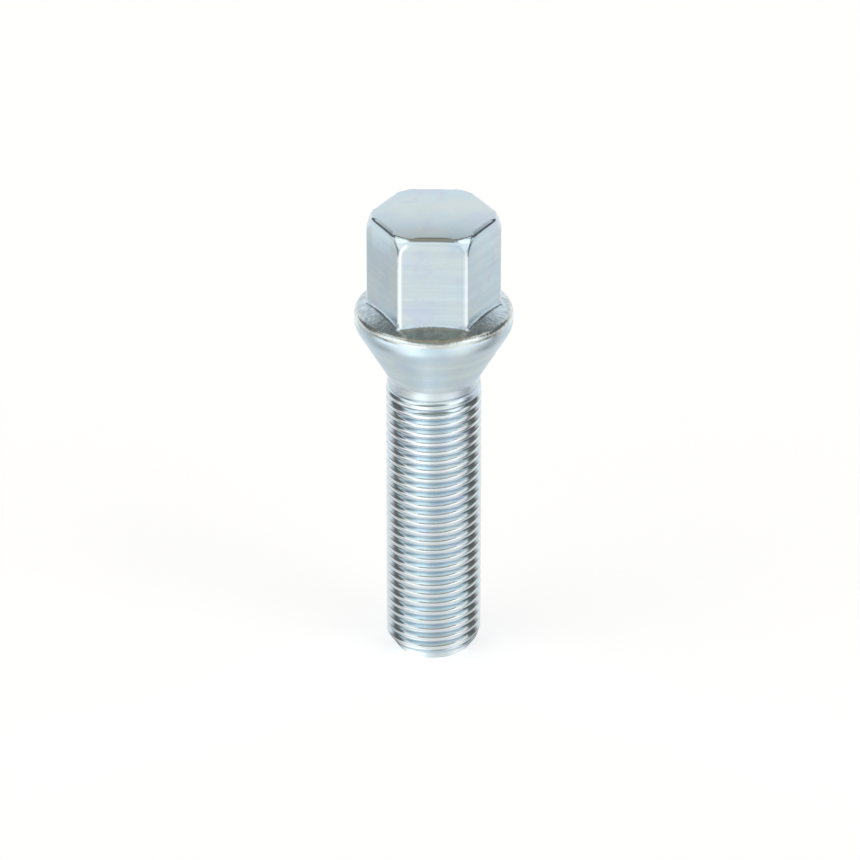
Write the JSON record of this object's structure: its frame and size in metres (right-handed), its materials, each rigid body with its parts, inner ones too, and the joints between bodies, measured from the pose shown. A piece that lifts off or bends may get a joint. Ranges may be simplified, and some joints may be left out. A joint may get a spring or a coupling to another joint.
{
  "type": "wheel bolt",
  "caption": "One-piece wheel bolt with a hexagon head and domed crown, a sloped collar, a conical seat and a threaded shank that clamps a wheel to its hub.",
  "frame": {"origin": "centre of the flat tip of the shank, on which the bolt stands", "axes": "+Z along the bolt's axis from the tip to the head; two flats of the hexagon face +Y and -Y"},
  "size_m": [0.023, 0.023, 0.0715],
  "materials": {
    "zinc_plated_steel": "bright zinc plating, clear with a faint blue tint"
  },
  "bodies": {
    "root": {"wheel_bolt": "zinc_plated_steel"}
  },
  "joints": []
}
